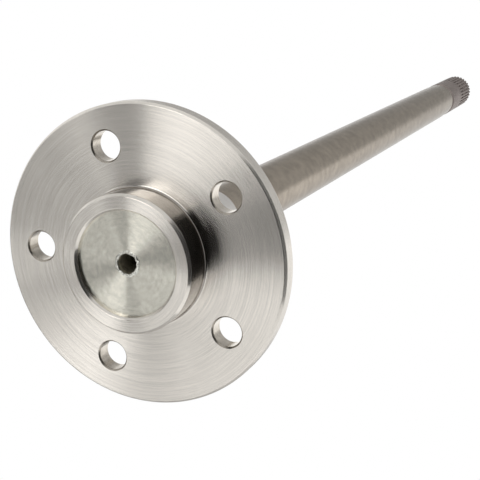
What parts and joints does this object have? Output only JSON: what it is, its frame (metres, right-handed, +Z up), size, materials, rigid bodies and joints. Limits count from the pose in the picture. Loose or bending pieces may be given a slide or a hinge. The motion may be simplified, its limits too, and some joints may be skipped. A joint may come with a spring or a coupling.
{
  "type": "axle shaft",
  "caption": "Flanged axle shaft in bare turned steel: round wheel flange with a ring of stud holes, raised hub pilot, long plain shaft and a splined inner end.",
  "frame": {"origin": "on the shaft's axis, in the plane of the hub face it stands on", "axes": "+Z up along the shaft, from the hub face to the splined end; one stud hole lies on +Y"},
  "size_m": [0.154, 0.154, 0.798],
  "materials": {
    "steel": "turned"
  },
  "bodies": {
    "root": {"axle_shaft": "steel"}
  },
  "joints": []
}
